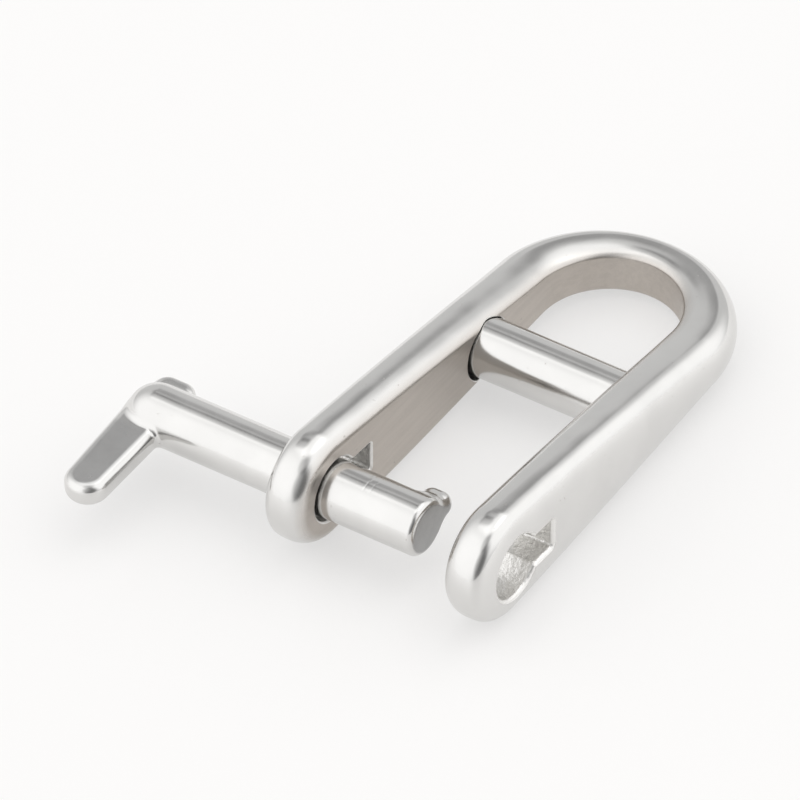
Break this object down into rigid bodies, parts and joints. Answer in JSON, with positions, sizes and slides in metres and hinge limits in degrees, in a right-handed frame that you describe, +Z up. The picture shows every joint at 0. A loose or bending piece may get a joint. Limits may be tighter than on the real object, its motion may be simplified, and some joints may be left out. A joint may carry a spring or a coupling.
{
  "type": "key pin shackle with cross bar",
  "caption": "Long U-shaped joining shackle in polished stainless steel, with keyholes in its ears for a round key pin with a flat lever, and a plain bar held loose across its legs.",
  "frame": {"origin": "middle of the bounding box in X and Y, on the surface that the shackle lies on", "axes": "X along the key pin, from its lever to the far ear; Y along the legs towards the bow; Z up"},
  "size_m": [0.0368, 0.0502, 0.01],
  "materials": {
    "body_steel": "polished, with satin inner faces",
    "bar_steel": "polished",
    "pin_steel": "polished, with satin cut faces"
  },
  "bodies": {
    "body": {"shackle_body": "body_steel"},
    "cross_bar": {"cross_bar": "bar_steel"},
    "key_pin": {"key_pin": "pin_steel"}
  },
  "joints": [
    {"name": "pin_slide", "type": "slide", "parent": "body", "child": "key_pin", "axis": [1, 0, 0], "range_m": [-0.0131, 0.01115]},
    {"name": "bar_spin", "type": "hinge", "parent": "body", "child": "cross_bar", "pos_m": [0.00779, 0.00733, 0.00343], "axis": [1, 0, 0], "continuous": true}
  ]
}
